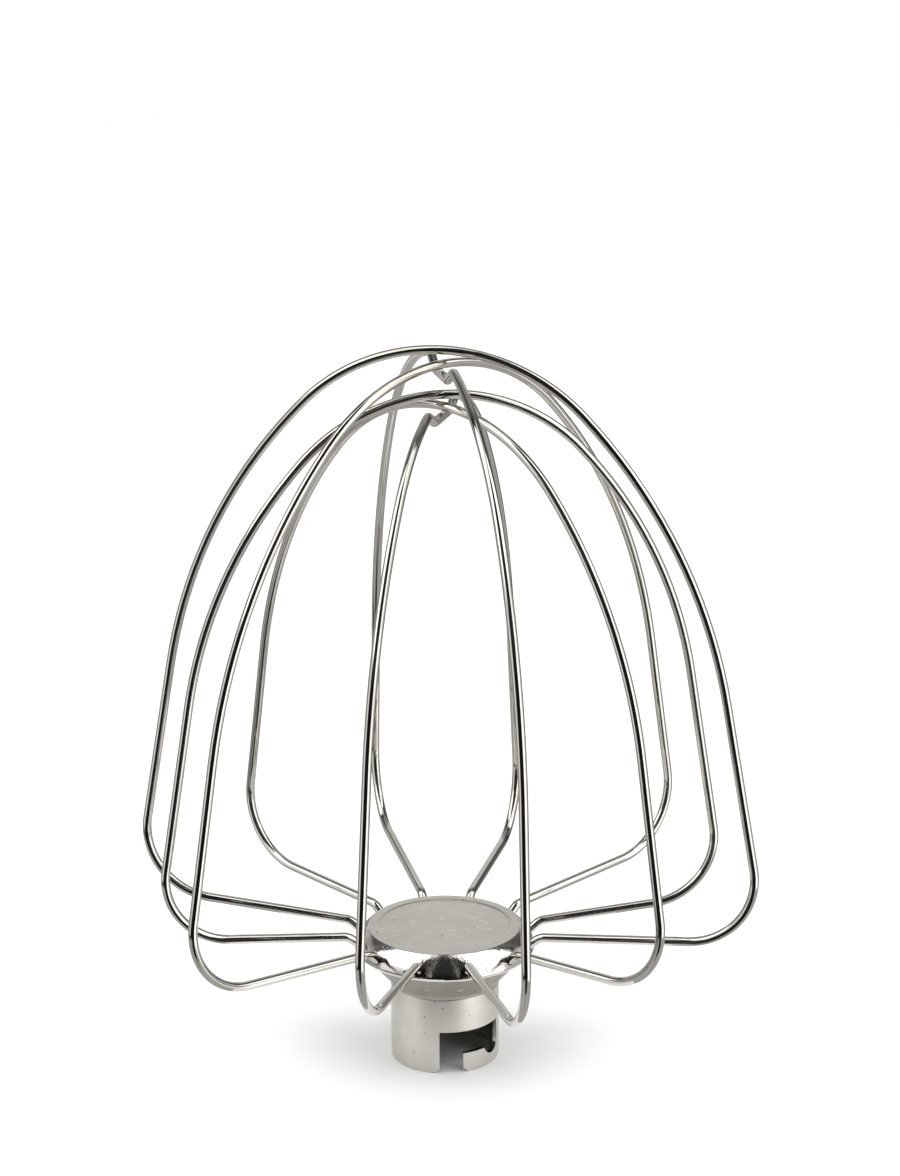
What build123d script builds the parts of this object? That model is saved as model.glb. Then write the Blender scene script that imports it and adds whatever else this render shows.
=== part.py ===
from build123d import *
from math import acos, atan, cos, degrees, radians, sin, tan
import os

# Wire whip for a stand mixer. Millimetres. +Z runs along the drive axis, from the open end of
# the drive socket at z = 0 to the crown of the wire cage.

# ---- driving dimensions ----

# mixer side: the drive shaft and its cross pin set the bore and the bayonet slot
shaft_dia = 12.7
shaft_clearance = 0.05          # radial, running fit
pin_dia = 4.76
pin_clearance = 0.27            # each side of the pin

# drive socket, a thin tube
socket_dia = 24.0
socket_wall = 1.0
socket_height = 17.5            # open end to the seam with the collar
socket_edge_radius = 0.3
seam_radius = 0.18              # rounds of the socket and the collar where they meet
slot_yaw = -82.0                # direction of the slot's entry, degrees round +Z
slot_travel = 52.0              # turn of the pin from the entry to its rest, degrees
slot_sill = 4.5                 # height of the lower edge of the slot's level leg
slot_detent = 2.0               # drop of the pin at its rest
slot_mouth_radius = 0.8
slot_corner_radius = 0.9        # closed end of the level leg

# flared collar, a drawn sheet cone with a spigot in the socket
collar_sheet = 0.6
collar_height = 7.5             # seam with the socket to the cap's rolled edge
collar_neck_land = 0.65         # short upright neck above the seam
collar_neck_step = 0.15         # the neck stands this much proud of the socket
collar_neck_flat = 0.01         # left straight between the round at the seam and the bend
collar_spigot = 3.5             # length inside the socket
collar_flange = 0.7             # rim that the cap is rolled under
spigot_clearance = 0.02
dimple_radius = 1.0
dimple_depth = 0.3
dimple_rise = 3.7               # above the seam

# hub cap, an inverted drawn cup
cap_dia = 39.8                  # widest point of the side wall
cap_height = 5.5                # rolled edge to flat top
cap_sheet = 0.6
cap_flare = 3.1                 # the rim stands in from the widest point
cap_belly_rise = 1.2            # height of the widest point above the rolled edge
cap_side_radius = 8.0           # convex bow of the side wall
cap_roll_radius = 0.9
cap_rim_round = 0.35
cap_tuck = 1.6                  # the rolled edge ends this far inside the widest point
cap_clearance = 0.05
recess_margin = 2.3             # flat ring left outside the recess
recess_depth = 0.22
recess_slope_width = 0.5

# shaft sleeve, stop disc, and the ring that anchors the wires
sleeve_wall = 2.0
sleeve_lift = 2.2               # mouth of the bore above the bayonet slot
sleeve_mouth_chamfer = 0.5
sleeve_flange_sheet = 1.2
stop_disc_sheet = 1.4
stop_disc_chamfer = 0.4
anchor_clearance = 0.03
anchor_lift = 1.2               # underside of the anchor above the seam
anchor_cover = 2.2              # anchor above the collar's top edge
anchor_web = 2.0                # metal between the wire ends and the stop disc's seat

# wire ends
wire_dia = 2.0
channel_clearance = 0.05
channel_end_gap = 0.3
hole_clearance = 0.12
entry_inset = 0.75              # a wire crosses the cap this far inside its widest point
entry_rise = 2.4                # and this far above the rolled edge
entry_slope = 40.0              # fall of the wire towards the axis, degrees
entry_depth = 6.8               # from the crossing to the cut end
entry_bend_radius = 3.0
foot_rise = 2.1                 # bend outside the cap, above the crossing
foot_slope = 4.0                # rise of the wire from the bend to its lower corner, degrees

# wire cage: two sets of three loops, all crossing on the axis. The reach is the greatest
# radius of a wire's centreline, and heights at the crown are of the centreline too
pair_yaws = (13.0, 42.0, 75.0)  # a tall and a short loop stand this far either side of X
crown_height = 160.7            # the highest loop
tall_reach = 68.8
tall_corner_radius = 15.4
tall_lean = 10.0                # of the straight leg towards the axis, degrees
tall_flank_radius = 116.0
tall_flank_turn = 34.5
tall_gap = 1.1                  # air between the first and second tall loops
full_lean = 4.0                 # the crimped tall loop has a fuller arch than the other two
full_flank_radius = 108.0
full_flank_turn = 30.5
short_reach = 61.6
short_corner_radius = 14.8
short_lean = 9.0
short_flank_radius = 101.0
short_flank_turn = 33.5
short_gap = 0.5
set_gap = 2.2                   # air between the two sets
crimp_gap = 0.3                 # air between a crimp and the loop above it
crimp_rise = 1.4                # a crimped loop's arch, above the loop that it passes under
crimp_reach = 10.5              # from the axis to the crimp's shoulders
crimp_radius = 2.6              # bends at the crimp's shoulders and foot
crimp_drop = 30.0               # slope of the crimp's sides, degrees

# ---- values that follow ----

socket_radius = socket_dia / 2
socket_bore = socket_radius - socket_wall
shaft_bore = shaft_dia / 2 + shaft_clearance
wire_radius = wire_dia / 2
wire_yaws = [side * yaw + half for half in (0, 180) for yaw in pair_yaws for side in (-1, 1)]
slot_width = pin_dia + 2 * pin_clearance
slot_top = slot_sill + slot_width

neck_radius = socket_radius + collar_neck_step
neck_top = socket_height + collar_neck_land
edge_height = socket_height + collar_height
edge_radius = cap_dia / 2 - cap_tuck
cone_run = (edge_radius - neck_radius) / (edge_height - neck_top)
# the bend from neck to cone is as large as the neck leaves room for
neck_bend_radius = (collar_neck_land - seam_radius - collar_neck_flat) / tan(atan(cone_run) / 2)
cap_top = edge_height + cap_height
cap_rim_radius = cap_dia / 2 - cap_flare
cap_floor = cap_top - recess_depth - cap_sheet
recess_radius = cap_rim_radius - recess_margin

sleeve_radius = shaft_bore + sleeve_wall
sleeve_mouth = slot_top + sleeve_lift
entry_radius = cap_dia / 2 - entry_inset
entry_height = edge_height + entry_rise
wire_end_radius = entry_radius - entry_depth * cos(radians(entry_slope))
seat_radius = wire_end_radius - wire_radius - anchor_web

tall_second = crown_height - wire_dia - tall_gap
tall_crimp = tall_second - wire_dia - crimp_gap
short_crown = tall_crimp - wire_dia - set_gap
short_second = short_crown - wire_dia - short_gap
short_crimp = short_second - wire_dia - crimp_gap


def radial_plane(yaw):
    """Upright plane through the axis: its x runs outwards at yaw and its y runs up."""
    return Plane.XZ.rotated((0, 0, yaw))


def facing_plane(yaw):
    """Upright plane on the axis that faces outwards at yaw, for cuts through a round wall."""
    return Plane.YZ.rotated((0, 0, yaw))


def entry_lines():
    """One plane for each wire end, on its crossing with the cap, facing in along the wire."""
    slope = radians(entry_slope)
    planes = []
    for yaw in wire_yaws:
        upright = radial_plane(yaw)
        origin = upright.from_local_coords((entry_radius, entry_height, 0))
        inwards = upright.x_dir * -cos(slope) - Vector(0, 0, sin(slope))
        planes.append(Plane(origin=origin, x_dir=upright.z_dir, z_dir=inwards))
    return planes


def cone_inside(height, inset):
    """Radius, at a height, of a surface that lies inset within the collar's cone."""
    return neck_radius + (height - neck_top) * cone_run - inset * (1 + cone_run**2) ** 0.5


def write(piece, label):
    piece.label = label
    export_step(piece, f"parts/{label}.step")


os.makedirs("parts", exist_ok=True)


# ---- hub ----

with BuildPart() as socket:
    with BuildSketch():
        Circle(socket_radius)
    extrude(amount=socket_height)
    fillet(socket.faces().sort_by(Axis.Z)[0].edges(), radius=socket_edge_radius)
    fillet(socket.faces().sort_by(Axis.Z)[-1].edges(), radius=seam_radius)
    with BuildSketch():
        Circle(socket_bore)
    extrude(amount=socket_height, mode=Mode.SUBTRACT)
    # entry, with its mouth rounded into the open end
    with BuildSketch(facing_plane(slot_yaw)):
        with BuildLine():
            mouth = slot_width / 2 + slot_mouth_radius
            Polyline((0, slot_top), (slot_width / 2, slot_top), (slot_width / 2, slot_mouth_radius))
            RadiusArc((slot_width / 2, slot_mouth_radius), (mouth, 0), slot_mouth_radius)
            Polyline((mouth, 0), (mouth, -1), (0, -1))
            mirror(about=Plane.YZ)
        make_face()
    extrude(amount=socket_dia, mode=Mode.SUBTRACT)
    # level leg
    with BuildSketch(radial_plane(slot_yaw)):
        with Locations((socket_radius, slot_sill)):
            Rectangle(socket_radius, slot_width, align=(Align.CENTER, Align.MIN))
    revolve(axis=Axis.Z, revolution_arc=slot_travel, mode=Mode.SUBTRACT)
    # closed end, which drops into the detent
    with BuildSketch(facing_plane(slot_yaw + slot_travel)):
        with Locations((0, slot_sill - slot_detent + slot_width / 2)):
            Circle(slot_width / 2)
            Rectangle(slot_width, slot_width / 2 + slot_detent, align=(Align.CENTER, Align.MIN))
        fillet(vertices().group_by(Axis.Y)[-1], radius=slot_corner_radius)
    extrude(amount=socket_dia, mode=Mode.SUBTRACT)
write(socket.part, "drive_socket")

with BuildPart() as collar:
    with BuildSketch(Plane.XZ):
        with BuildLine() as sheet:
            spigot = socket_bore - spigot_clearance
            Polyline(
                (spigot, socket_height - collar_spigot),
                (spigot, socket_height),
                (neck_radius, socket_height),
                (neck_radius, neck_top),
                (edge_radius, edge_height),
                (edge_radius, edge_height + cap_sheet),
                (edge_radius + collar_flange, edge_height + cap_sheet),
            )
            offset(amount=collar_sheet, side=Side.LEFT)
        make_face()
        neck_bend = vertices().sort_by_distance((neck_radius, neck_top, 0))[0]
        fillet(neck_bend, radius=neck_bend_radius)
        neck_lip = vertices().sort_by_distance((neck_radius, socket_height, 0))[0]
        fillet(neck_lip, radius=seam_radius)
    revolve(axis=Axis.Z)
    # dimples that stake the wire ends
    dimple_ball = (dimple_radius**2 + dimple_depth**2) / (2 * dimple_depth)
    dimple_stand = (dimple_ball - dimple_depth) / (1 + cone_run**2) ** 0.5
    dimple_height = socket_height + dimple_rise
    dimple_centre = (cone_inside(dimple_height, 0) + dimple_stand, dimple_height - dimple_stand * cone_run)
    with Locations(*[radial_plane(yaw).from_local_coords((*dimple_centre, 0)) for yaw in wire_yaws]):
        Sphere(dimple_ball, mode=Mode.SUBTRACT)
    with Locations(*entry_lines()):
        Cylinder(wire_radius + channel_clearance, 2 * entry_depth, mode=Mode.SUBTRACT)
write(collar.part, "flared_collar")

with BuildPart() as cap:
    with BuildSketch(Plane.XZ):
        with BuildLine():
            belly = cap_dia / 2
            belly_height = edge_height + cap_belly_rise
            Polyline(
                (0, cap_floor + cap_sheet),
                (recess_radius, cap_floor + cap_sheet),
                (recess_radius + recess_slope_width, cap_top),
                (cap_rim_radius, cap_top),
            )
            RadiusArc((cap_rim_radius, cap_top), (belly, belly_height), cap_side_radius)
            Polyline(
                (belly, belly_height),
                (belly, edge_height),
                (edge_radius + cap_clearance, edge_height),
                (edge_radius + cap_clearance, edge_height + cap_sheet),
                (belly - cap_sheet, edge_height + cap_sheet),
                (belly - cap_sheet, belly_height),
                (cap_rim_radius - cap_sheet, cap_floor),
                (0, cap_floor),
                (0, cap_floor + cap_sheet),
            )
        make_face()
        rolled_corner = vertices().sort_by_distance((belly, edge_height, 0))[0]
        fillet(rolled_corner, radius=cap_roll_radius)
        rim_corner = vertices().sort_by_distance((cap_rim_radius, cap_top, 0))[0]
        fillet(rim_corner, radius=cap_rim_round)
    revolve(axis=Axis.Z)
    with Locations(*entry_lines()):
        Cylinder(wire_radius + hole_clearance, entry_depth, mode=Mode.SUBTRACT)
write(cap.part, "hub_cap")

with BuildPart() as sleeve:
    with BuildSketch(Plane.XZ):
        with BuildLine():
            Polyline(
                (shaft_bore, sleeve_mouth),
                (sleeve_radius, sleeve_mouth),
                (sleeve_radius, edge_height - sleeve_flange_sheet),
                (seat_radius, edge_height - sleeve_flange_sheet),
                (seat_radius, edge_height),
                (shaft_bore, edge_height),
                (shaft_bore, sleeve_mouth),
            )
        make_face()
        mouth_corners = vertices().group_by(Axis.Y)[0]
        chamfer(mouth_corners, length=sleeve_mouth_chamfer)
    revolve(axis=Axis.Z)
write(sleeve.part, "shaft_sleeve")

with BuildPart() as disc:
    with BuildSketch(Plane.XY.offset(edge_height)):
        Circle(seat_radius)
    extrude(amount=stop_disc_sheet)
    chamfer(disc.faces().sort_by(Axis.Z)[-1].edges(), length=stop_disc_chamfer)
write(disc.part, "stop_disc")

with BuildPart() as anchor:
    with BuildSketch(Plane.XZ):
        with BuildLine():
            anchor_foot = socket_height + anchor_lift
            bore = sleeve_radius + anchor_clearance
            seat = seat_radius + anchor_clearance
            seat_height = edge_height - sleeve_flange_sheet
            shell = collar_sheet + anchor_clearance
            Polyline(
                (bore, anchor_foot),
                (cone_inside(anchor_foot, shell), anchor_foot),
                (cone_inside(edge_height, shell), edge_height),
                (cone_inside(edge_height, shell), edge_height + anchor_cover),
                (seat, edge_height + anchor_cover),
                (seat, seat_height),
                (bore, seat_height),
                (bore, anchor_foot),
            )
        make_face()
    revolve(axis=Axis.Z)
    with Locations(*entry_lines()):
        Cylinder(
            wire_radius + channel_clearance,
            2 * (entry_depth + channel_end_gap),
            mode=Mode.SUBTRACT,
        )
write(anchor.part, "wire_anchor")


# ---- wire loops ----

def wire_loop(label, yaw, shape, crown, crimp=None):
    """One loop of wire. Both halves are alike, so a half is drawn and mirrored.

    From its cut end in the hub the wire climbs out, bends level, runs out along its foot, turns
    up round the corner, and closes over the crown as a straight leg, a flank arc and a crown arc.
    With a crimp height, the crown arc ends in a shoulder and drops to a short flat.
    """
    reach, corner, lean, flank, flank_turn = shape
    upright = radial_plane(yaw)
    fall = radians(entry_slope)
    foot = radians(foot_slope)
    lean_angle = radians(lean)
    arch_angle = radians(lean + flank_turn)

    bend_turn = entry_slope - foot_slope
    bend_tangent = entry_bend_radius * tan(radians(bend_turn) / 2)
    bend_radius = entry_radius + foot_rise / tan(fall)
    climb_length = entry_depth + foot_rise / sin(fall) - bend_tangent
    corner_start = reach - corner + corner * sin(foot)
    foot_length = (corner_start - bend_radius) / cos(foot) - bend_tangent
    corner_height = (entry_height + foot_rise + (corner_start - bend_radius) * tan(foot)
                     + corner * cos(foot))

    # leg length and crown radius that bring the crown level on the axis, at its height
    across = reach - corner + corner * cos(lean_angle) - flank * (cos(lean_angle) - cos(arch_angle))
    upward = crown - corner_height - corner * sin(lean_angle)
    upward -= flank * (sin(arch_angle) - sin(lean_angle))
    closing = (1 - sin(arch_angle)) / cos(arch_angle)
    leg_length = (upward - across * closing) / (cos(lean_angle) - sin(lean_angle) * closing)
    crown_radius = (across - leg_length * sin(lean_angle)) / cos(arch_angle)

    with BuildPart() as loop:
        with BuildLine(upright) as path:
            cut_end = (
                entry_radius - entry_depth * cos(fall),
                entry_height - entry_depth * sin(fall),
            )
            climb = PolarLine(cut_end, climb_length, entry_slope)
            bend = JernArc(climb @ 1, climb % 1, entry_bend_radius, -bend_turn)
            run = Line(bend @ 1, (bend @ 1) + (bend % 1) * foot_length)
            turn = JernArc(run @ 1, run % 1, corner, 90 + lean - foot_slope)
            leg = Line(turn @ 1, (turn @ 1) + (turn % 1) * leg_length)
            side = JernArc(leg @ 1, leg % 1, flank, flank_turn)
            if crimp is None:
                JernArc(side @ 1, side % 1, crown_radius, 90 - lean - flank_turn)
            else:
                drop = radians(crimp_drop)
                bend_fall = crimp_radius * (1 - cos(drop))
                shoulder = acos(crimp_reach / (crown_radius - crimp_radius))
                peak = crown - (crown_radius - crimp_radius) * (1 - sin(shoulder))
                straight_fall = peak - crimp - 2 * bend_fall
                flat = crimp_reach - 2 * crimp_radius * sin(drop) - straight_fall / tan(drop)
                shoulder_angle = degrees(shoulder)
                arch = JernArc(side @ 1, side % 1, crown_radius, shoulder_angle - lean - flank_turn)
                top = JernArc(arch @ 1, arch % 1, crimp_radius, 90 + crimp_drop - shoulder_angle)
                dip = Line(top @ 1, (top @ 1) + (top % 1) * (straight_fall / sin(drop)))
                heel = JernArc(dip @ 1, dip % 1, crimp_radius, -crimp_drop)
                Line(heel @ 1, (heel @ 1) + (heel % 1) * flat)
            mirror(about=Plane.YZ.rotated((0, 0, yaw)))
        with BuildSketch(Plane(origin=path.line @ 0, z_dir=path.line % 0)):
            Circle(wire_radius)
        sweep(path=path.line)
    write(loop.part, label)


def wire_set(name, side, shape, crown, second, crimped_shape, crimp):
    """Three loops: the first over the second, and the third crimped to pass under both."""
    near, middle, far = pair_yaws
    wire_loop(f"{name}_loop_1", side * near, shape, crown)
    wire_loop(f"{name}_loop_2", -side * middle, shape, second)
    wire_loop(f"{name}_loop_3", side * far, crimped_shape, second + crimp_rise, crimp)


tall = (tall_reach, tall_corner_radius, tall_lean, tall_flank_radius, tall_flank_turn)
full = (tall_reach, tall_corner_radius, full_lean, full_flank_radius, full_flank_turn)
short = (short_reach, short_corner_radius, short_lean, short_flank_radius, short_flank_turn)
wire_set("tall", -1, tall, crown_height, tall_second, full, tall_crimp)
wire_set("short", 1, short, short_crown, short_second, short, short_crimp)
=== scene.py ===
"""Looks and stage for a stand mixer's wire whip, as a Blender add-on that runs as a script."""

from math import acos, ceil, cos, pi, radians, sin, tan

import bpy
from bpy.props import (
    FloatProperty,
    FloatVectorProperty,
    IntProperty,
    PointerProperty,
)
from mathutils import Matrix, Vector


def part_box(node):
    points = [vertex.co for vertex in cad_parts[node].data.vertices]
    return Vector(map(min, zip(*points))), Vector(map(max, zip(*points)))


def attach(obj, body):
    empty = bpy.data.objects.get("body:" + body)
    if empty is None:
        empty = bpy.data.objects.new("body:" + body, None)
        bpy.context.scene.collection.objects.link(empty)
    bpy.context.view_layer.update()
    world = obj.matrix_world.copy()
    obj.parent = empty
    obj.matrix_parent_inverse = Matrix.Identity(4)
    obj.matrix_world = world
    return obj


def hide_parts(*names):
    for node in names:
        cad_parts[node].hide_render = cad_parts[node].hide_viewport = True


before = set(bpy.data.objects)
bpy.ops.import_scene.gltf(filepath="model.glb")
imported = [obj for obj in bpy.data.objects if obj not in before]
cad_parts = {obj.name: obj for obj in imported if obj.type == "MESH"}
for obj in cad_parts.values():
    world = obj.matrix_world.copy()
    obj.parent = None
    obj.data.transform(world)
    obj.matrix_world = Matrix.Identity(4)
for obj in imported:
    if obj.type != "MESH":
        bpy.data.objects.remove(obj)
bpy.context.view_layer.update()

bl_info = {
    "name": "Wire whip",
    "version": (1, 0, 0),
    "blender": (4, 5, 0),
    "location": "View3D > Sidebar > Wire whip",
    "description": "Bends a wire whip's loops, finishes its hub and sets its stage",
    "category": "Object",
}

MM = 0.001

# what the finishes are masked by, in mm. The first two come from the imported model
CAP_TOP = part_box("hub_cap")[1].z / MM
SOCKET_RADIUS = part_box("drive_socket")[1].x / MM
SOCKET_WALL = 1.0           # as the socket's solid was drawn
SATIN_RADIUS = 16.75        # the cap's satin top ends here, where the rim starts to round over

WORLD_GLOW = 0.012          # what the metal mirrors where there is no panel


def linear(hex_colour):
    """An sRGB hex colour as linear red, green, blue and an alpha of one."""
    parts = [int(hex_colour[i:i + 2], 16) / 255 for i in (1, 3, 5)]
    return (*[c / 12.92 if c <= 0.04045 else ((c + 0.055) / 1.055) ** 2.4 for c in parts], 1.0)


def add_node(tree, kind, links=None, **settings):
    """Adds a node to a tree. Settings go on the node itself, and links gives its inputs their
    values or the outputs that feed them."""
    made = tree.nodes.new(kind)
    for name, value in settings.items():
        setattr(made, name, value)
    for key, value in (links or {}).items():
        if isinstance(value, bpy.types.NodeSocket):
            tree.links.new(value, made.inputs[key])
        else:
            made.inputs[key].default_value = value
    return made


# ---- sizes and colours ----

def length(name, description, millimetres):
    return FloatProperty(name=name, description=description, default=millimetres * MM,
                         min=0.0, subtype="DISTANCE", unit="LENGTH", precision=5)


def angle(name, description, in_degrees):
    return FloatProperty(name=name, description=description, default=radians(in_degrees),
                         subtype="ANGLE", unit="ROTATION")


def share(name, description, default):
    return FloatProperty(name=name, description=description, default=default, min=0.0, max=1.0,
                         subtype="FACTOR")


def colour(name, description, hex_colour):
    return FloatVectorProperty(name=name, description=description, size=4, min=0.0, max=1.0,
                               subtype="COLOR", default=linear(hex_colour))


class WhipWireSizes(bpy.types.PropertyGroup):
    """Sizes of the six wire loops. They are the ones that the whip's solids were drawn with."""

    wire_dia: length("Wire diameter", "Diameter of the drawn wire", 2.0)
    sides: IntProperty(name="Sides", description="Faces round the wire", default=28, min=8, max=64)
    entry_radius: length("Entry radius", "Where a wire crosses the cap's wall, from the axis",
                         19.15)
    entry_height: length("Entry height", "Where a wire crosses the cap's wall, above the rim", 27.4)
    entry_slope: angle("Entry slope", "Fall of the wire towards the axis", 40)
    entry_depth: length("Entry depth", "From the crossing to the cut end", 6.8)
    entry_bend: length("Entry bend", "Radius of the bend outside the cap", 3.0)
    foot_rise: length("Foot rise", "Height of that bend above the crossing", 2.1)
    foot_slope: angle("Foot slope", "Rise of the wire from the bend to its lower corner", 4)
    near_yaw: angle("Near pair", "The first loop of each set stands this far from X", 13)
    middle_yaw: angle("Middle pair", "The second loop of each set stands this far from X", 42)
    far_yaw: angle("Far pair", "The crimped loop of each set stands this far from X", 75)
    tall_reach: length("Tall reach", "Greatest radius of a tall loop", 68.8)
    tall_corner: length("Tall corner", "Radius of a tall loop's lower corner", 15.4)
    tall_lean: angle("Tall lean", "Lean of a tall loop's straight leg", 10)
    tall_flank: length("Tall flank", "Radius of a tall loop's flank", 116)
    tall_turn: angle("Tall turn", "Turn of a tall loop's flank", 34.5)
    full_lean: angle("Full lean", "Lean of the crimped tall loop's straight leg", 4)
    full_flank: length("Full flank", "Radius of the crimped tall loop's flank", 108)
    full_turn: angle("Full turn", "Turn of the crimped tall loop's flank", 30.5)
    tall_crown: length("Tall crown", "Height of the first tall loop", 160.7)
    tall_second: length("Tall second", "Height of the second tall loop", 157.6)
    tall_crimp: length("Tall crimp", "Height of the tall set's crimp", 155.3)
    short_reach: length("Short reach", "Greatest radius of a short loop", 61.6)
    short_corner: length("Short corner", "Radius of a short loop's lower corner", 14.8)
    short_lean: angle("Short lean", "Lean of a short loop's straight leg", 9)
    short_flank: length("Short flank", "Radius of a short loop's flank", 101)
    short_turn: angle("Short turn", "Turn of a short loop's flank", 33.5)
    short_crown: length("Short crown", "Height of the first short loop", 151.1)
    short_second: length("Short second", "Height of the second short loop", 148.6)
    short_crimp: length("Short crimp", "Height of the short set's crimp", 146.3)
    crimp_rise: length("Crimp rise", "Arch of a crimped loop above the loop over it", 1.4)
    crimp_reach: length("Crimp reach", "From the axis to the crimp's shoulders", 10.5)
    crimp_radius: length("Crimp radius", "Bends at the crimp's shoulders and foot", 2.6)
    crimp_drop: angle("Crimp drop", "Slope of the crimp's sides", 30)


class WhipFinishes(bpy.types.PropertyGroup):
    """Colours and polish of the metals."""

    wire_colour: colour("Wire", "Drawn stainless wire", "#CFCCC5")
    wire_tarnish: colour("Wire tarnish", "Handling film on the wire", "#ADA79B")
    wire_roughness: share("Wire roughness", "Of clean wire", 0.04)
    cap_colour: colour("Cap wall", "Polished wall of the hub cap", "#D9D6D0")
    cap_top_colour: colour("Cap top", "Satin top of the hub cap", "#DEDBD3")
    cap_roughness: share("Cap wall roughness", "Of the polished wall", 0.06)
    cap_top_roughness: share("Cap top roughness", "Of the satin top", 0.34)
    satin_colour: colour("Socket", "Tumbled tube of the socket", "#D3D1CA")
    # painted shade: the socket's finish made darker for the shade the collar sits in
    collar_shaded_colour: colour("Collar", "Tumbled sheet of the collar", "#A9A7A0")
    # painted shade: the dark colour that darkens the inside of the socket's bore
    bore_shade_colour: colour("Inner wall", "Painted shade inside the socket", "#4B4843")
    satin_roughness: share("Satin roughness", "Of the tumbled socket and collar", 0.38)
    aluminium_colour: colour("Aluminium", "Turned sleeve and wire anchor", "#D3D3D2")
    speck_colour: colour("Specks", "Pits that hold polishing residue", "#6E6A62")


class WhipStage(bpy.types.PropertyGroup):
    """Floor, light and camera."""

    floor_colour: colour("Floor", "Matt white sweep", "#F4F4F3")
    sheet_radius: length("Sheet radius", "Part of the floor that the metal mirrors", 48)
    floor_reach: length("Floor reach", "Outer radius of the floor", 1300)
    lamp_power: FloatProperty(name="Overhead power", description="Soft overhead light",
                              default=27.0, min=0.0, unit="POWER")
    lamp_size: length("Overhead size", "Side of the overhead light", 2600)
    lamp_height: length("Overhead height", "Above the floor", 1500)
    camera_position: FloatVectorProperty(name="Camera", description="Place of the camera", size=3,
                                         default=(0.01495, -0.69078, 0.32111),
                                         subtype="TRANSLATION", unit="LENGTH")
    camera_aim: FloatVectorProperty(name="Aim", description="Point at the centre of the frame",
                                    size=3, default=(0.001524, 0.0, 0.108378),
                                    subtype="TRANSLATION", unit="LENGTH")
    camera_roll: angle("Roll", "Turn of the camera about its own line of sight", -0.246)
    camera_lens: FloatProperty(name="Lens", description="Focal length", default=103.18, min=1.0,
                               unit="CAMERA")


# ---- metals ----

def start_material(name):
    """An empty node material with its shader, its output and the place on the piece in mm."""
    material = bpy.data.materials.new(name)
    material.use_nodes = True
    tree = material.node_tree
    tree.nodes.clear()
    shader = add_node(tree, "ShaderNodeBsdfPrincipled", {"Metallic": 1.0})
    add_node(tree, "ShaderNodeOutputMaterial", {"Surface": shader.outputs["BSDF"]})
    where = add_node(tree, "ShaderNodeTexCoord")
    scaled = add_node(tree, "ShaderNodeVectorMath",
                      {0: where.outputs["Object"], "Scale": 1 / MM}, operation="SCALE")
    return material, tree, shader, scaled.outputs["Vector"]


def drawn_wire_steel(finish):
    """Stainless wire, drawn through a die and bright polished. The die leaves lines along the
    wire that split a reflection into strands, and handling leaves a faint warm film in lengths
    of a few centimetres."""
    material, tree, shader, _ = start_material("drawn_stainless_wire")
    along = add_node(tree, "ShaderNodeAttribute", attribute_name="wire_space")
    in_mm = add_node(tree, "ShaderNodeVectorMath",
                     {0: along.outputs["Vector"], "Scale": 1 / MM}, operation="SCALE")
    # die lines: 0.12 mm apart round the wire and 40 mm long. Real ones are finer
    lines_place = add_node(tree, "ShaderNodeMapping",
                           {"Vector": in_mm.outputs["Vector"], "Scale": (8.0, 8.0, 0.025)})
    lines = add_node(tree, "ShaderNodeTexNoise",
                     {"Vector": lines_place.outputs["Vector"], "Scale": 1.0, "Detail": 3.0,
                      "Roughness": 0.6})
    # film: patches 25 mm long
    film_place = add_node(tree, "ShaderNodeMapping",
                          {"Vector": in_mm.outputs["Vector"], "Scale": (0.5, 0.5, 0.04)})
    film = add_node(tree, "ShaderNodeTexNoise",
                    {"Vector": film_place.outputs["Vector"], "Scale": 1.0, "Detail": 4.0})
    film_share = add_node(tree, "ShaderNodeMapRange",
                          {"Value": film.outputs["Fac"], "From Min": 0.5, "From Max": 0.78,
                           "To Min": 0.0, "To Max": 0.75}, interpolation_type="SMOOTHSTEP")
    tint = add_node(tree, "ShaderNodeMix",
                    {0: film_share.outputs["Result"], 6: tuple(finish.wire_colour),
                     7: tuple(finish.wire_tarnish)}, data_type="RGBA")
    tree.links.new(tint.outputs[2], shader.inputs["Base Color"])
    # pits 0.2 mm across
    pits = add_node(tree, "ShaderNodeTexVoronoi",
                    {"Vector": in_mm.outputs["Vector"], "Scale": 0.9, "Randomness": 1.0})
    pit_share = add_node(tree, "ShaderNodeMapRange",
                         {"Value": pits.outputs["Distance"], "From Min": 0.12, "From Max": 0.05,
                          "To Min": 0.0, "To Max": 1.0})
    rough_lines = add_node(tree, "ShaderNodeMapRange",
                           {"Value": lines.outputs["Fac"], "From Min": 0.35, "From Max": 0.75,
                            "To Min": finish.wire_roughness,
                            "To Max": finish.wire_roughness + 0.06})
    rough_film = add_node(tree, "ShaderNodeMath",
                          {0: film_share.outputs["Result"], 1: 0.07,
                           2: rough_lines.outputs["Result"]}, operation="MULTIPLY_ADD")
    rough = add_node(tree, "ShaderNodeMath",
                     {0: pit_share.outputs["Result"], 1: 0.2, 2: rough_film.outputs["Value"]},
                     operation="MULTIPLY_ADD")
    tree.links.new(rough.outputs["Value"], shader.inputs["Roughness"])
    relief = add_node(tree, "ShaderNodeMath",
                      {0: pit_share.outputs["Result"], 1: -0.8, 2: lines.outputs["Fac"]},
                      operation="MULTIPLY_ADD")
    bump = add_node(tree, "ShaderNodeBump",
                    {"Strength": 0.35, "Distance": 0.006 * MM, "Height": relief.outputs["Value"]})
    tree.links.new(bump.outputs["Normal"], shader.inputs["Normal"])
    return material


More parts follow.
